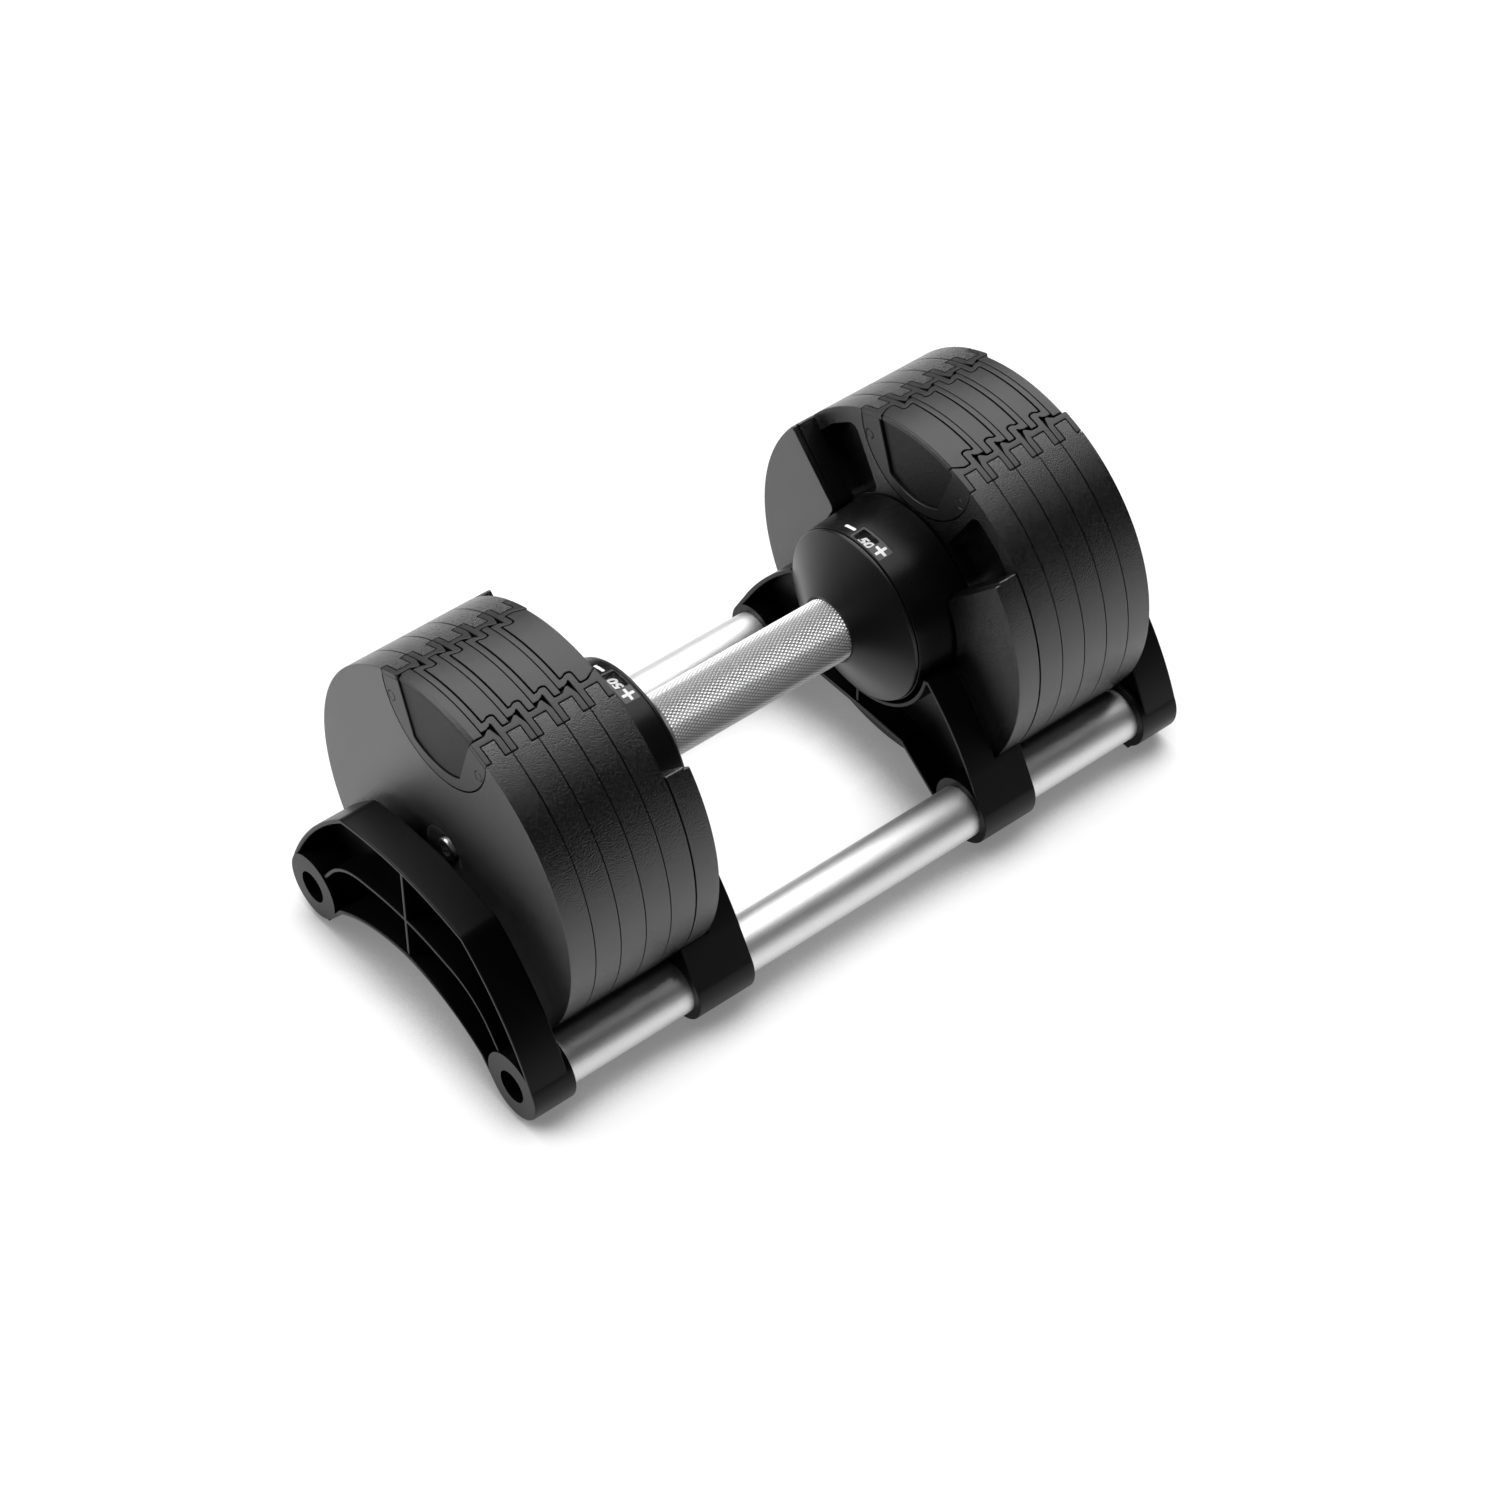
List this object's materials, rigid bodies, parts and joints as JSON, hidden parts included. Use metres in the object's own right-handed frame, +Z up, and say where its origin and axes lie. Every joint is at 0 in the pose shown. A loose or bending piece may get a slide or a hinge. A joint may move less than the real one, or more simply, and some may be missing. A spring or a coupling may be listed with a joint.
{
  "type": "adjustable dumbbell with cradle",
  "caption": "Adjustable dumbbell with round interlocking plates, a knurled twist grip and numbered hub windows, resting in a two-rail cradle with arched brackets.",
  "frame": {"origin": "on the ground under the middle of the handle", "axes": "+X along the handle, +Z up, the handle's axis 93.5 mm above the ground"},
  "size_m": [0.3896, 0.189, 0.1855],
  "materials": {
    "plate": "satin black coat, fine leather grain on the rims",
    "block": "satin moulded",
    "hub": "gloss",
    "lens": "gloss, dark tint",
    "cone": "satin",
    "bracket": "satin moulded",
    "tube": "satin anodised",
    "grip": "diamond knurled, bright",
    "bright_steel": "bright turned",
    "dark_steel": "oiled",
    "nylon": "natural",
    "rubber": "matt"
  },
  "bodies": {
    "cradle": {"end_bracket_right": "bracket", "saddle_bracket_right": "bracket", "tube_screw_front_right": "dark_steel", "foot_front_right": "rubber", "tube_screw_rear_right": "dark_steel", "foot_rear_right": "rubber", "end_bracket_left": "bracket", "saddle_bracket_left": "bracket", "tube_screw_front_left": "dark_steel", "foot_front_left": "rubber", "tube_screw_rear_left": "dark_steel", "foot_rear_left": "rubber", "cradle_tube_front": "tube", "cradle_tube_rear": "tube"},
    "dumbbell": {"weight_plate_1_right": "plate", "weight_plate_2_right": "plate", "weight_plate_3_right": "plate", "weight_plate_4_right": "plate", "weight_plate_5_right": "plate", "weight_plate_6_right": "plate", "interlock_block_1_right": "block", "interlock_block_2_right": "block", "interlock_block_3_right": "block", "interlock_block_4_right": "block", "interlock_block_5_right": "block", "hub_housing_right": "hub", "window_lens_right": "lens", "lock_spring_right": "bright_steel", "thrust_bush_right": "nylon", "weight_plate_1_left": "plate", "weight_plate_2_left": "plate", "weight_plate_3_left": "plate", "weight_plate_4_left": "plate", "weight_plate_5_left": "plate", "weight_plate_6_left": "plate", "interlock_block_1_left": "block", "interlock_block_2_left": "block", "interlock_block_3_left": "block", "interlock_block_4_left": "block", "interlock_block_5_left": "block", "hub_housing_left": "hub", "window_lens_left": "lens", "lock_spring_left": "bright_steel", "thrust_bush_left": "nylon", "core_tube": "dark_steel"},
    "handle": {"handle_cone_right": "cone", "number_ring_right": "cone", "handle_cone_left": "cone", "number_ring_left": "cone", "knurled_grip": "grip", "drive_sleeve": "nylon"},
    "rod_right": {"selector_rod_right": "bright_steel", "follower_pin_right": "dark_steel"},
    "rod_left": {"selector_rod_left": "bright_steel", "follower_pin_left": "dark_steel"},
    "pin_right": {"lock_pin_right": "dark_steel"},
    "pin_left": {"lock_pin_left": "dark_steel"}
  },
  "joints": [
    {"name": "lift", "type": "slide", "parent": "cradle", "child": "dumbbell", "axis": [0, 0, 1], "range_m": [0, 0.15]},
    {"name": "twist", "type": "hinge", "parent": "dumbbell", "child": "handle", "pos_m": [0, 0, 0.0935], "axis": [1, 0, 0], "range_deg": [-300, 0]},
    {"name": "rod_right", "type": "slide", "parent": "dumbbell", "child": "rod_right", "axis": [1, 0, 0], "range_m": [-0.069, 0]},
    {"name": "rod_left", "type": "slide", "parent": "dumbbell", "child": "rod_left", "axis": [1, 0, 0], "range_m": [0, 0.069]},
    {"name": "pin_right", "type": "slide", "parent": "dumbbell", "child": "pin_right", "axis": [0, 0, 1], "range_m": [0, 0.002], "stiffness_N_per_m": 600, "springref_m": -0.004, "deforming": ["lock_spring_right"]},
    {"name": "pin_left", "type": "slide", "parent": "dumbbell", "child": "pin_left", "axis": [0, 0, 1], "range_m": [0, 0.002], "stiffness_N_per_m": 600, "springref_m": -0.004, "deforming": ["lock_spring_left"]}
  ],
  "couplings": [
    {"joint": "rod_right", "follows": "twist", "m_per_rad": 0.013178},
    {"joint": "rod_left", "follows": "twist", "m_per_rad": -0.013178}
  ]
}
